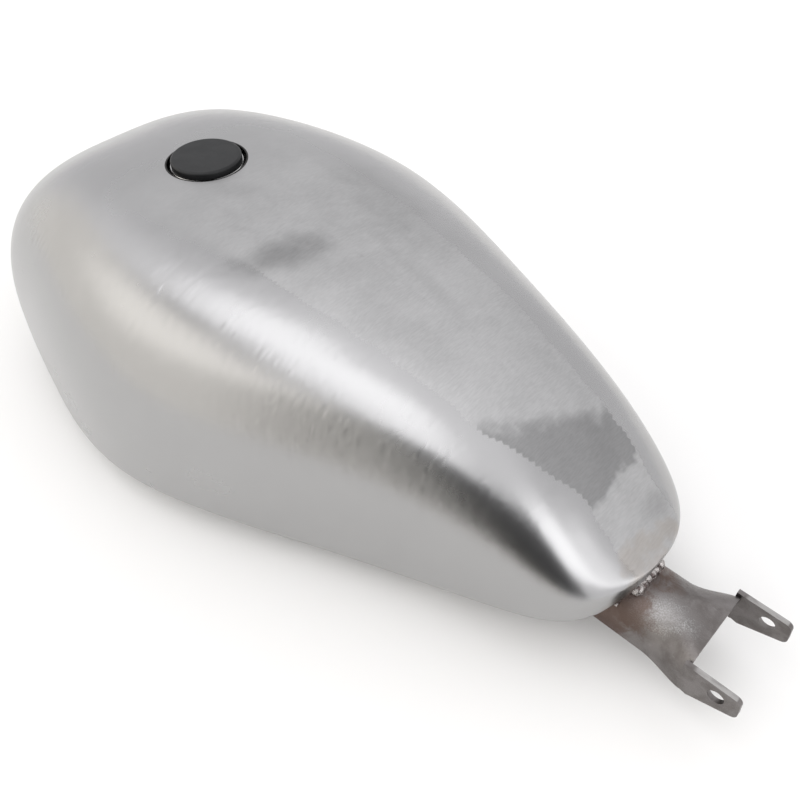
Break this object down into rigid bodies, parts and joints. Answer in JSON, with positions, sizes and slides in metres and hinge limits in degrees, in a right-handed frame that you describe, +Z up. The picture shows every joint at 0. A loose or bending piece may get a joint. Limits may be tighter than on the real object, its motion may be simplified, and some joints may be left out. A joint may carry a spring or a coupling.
{
  "type": "motorcycle fuel tank",
  "caption": "Teardrop bare-steel fuel tank with an arched frame tunnel underneath, a flush filler with a lift-out plug, and drilled mounting brackets front and rear.",
  "frame": {"origin": "on the plane the floor pans rest on, half way between the front of the nose and the tips of the rear bracket's ears, on the centre plane", "axes": "+X forward along the motorcycle, +Y to the rider's left, +Z up"},
  "size_m": [0.5773, 0.2897, 0.1665],
  "materials": {
    "skin_steel": "raw pressed sheet, satin, centre band sanded",
    "dressed_weld": "weld ground flush and sanded",
    "floor_steel": "raw pressed sheet, mill finish",
    "weld_metal": "as-welded bead with heat tint",
    "machined_steel": "turned",
    "bracket_steel": "hot-rolled sheet, brownish grey",
    "black_plastic": "moulded, matte",
    "seal_rubber": "matte"
  },
  "bodies": {
    "tank": {"left_side_skin": "skin_steel", "right_side_skin": "skin_steel", "top_seam_weld": "dressed_weld", "left_floor_pan": "floor_steel", "right_floor_pan": "floor_steel", "left_floor_seam_weld": "weld_metal", "right_floor_seam_weld": "weld_metal", "left_tunnel_seam_weld": "weld_metal", "right_tunnel_seam_weld": "weld_metal", "frame_tunnel": "floor_steel", "slosh_baffle": "floor_steel", "filler_collar": "machined_steel", "filler_neck": "machined_steel", "rear_mount_bracket": "bracket_steel", "saddle_weld": "weld_metal", "nose_weld": "weld_metal", "front_left_ear": "bracket_steel", "front_right_ear": "bracket_steel", "front_cross_plate": "bracket_steel", "front_bracket_welds": "weld_metal", "petcock_bung": "machined_steel", "left_crossover_spigot": "machined_steel", "right_crossover_spigot": "machined_steel", "vent_tube": "machined_steel", "fitting_welds": "weld_metal"},
    "plug": {"filler_plug": "black_plastic", "filler_plug_seal": "seal_rubber"}
  },
  "joints": [
    {"name": "filler_plug_lift", "type": "slide", "parent": "tank", "child": "plug", "axis": [0.0264, 0, 0.9997], "range_m": [0, 0.03]}
  ]
}
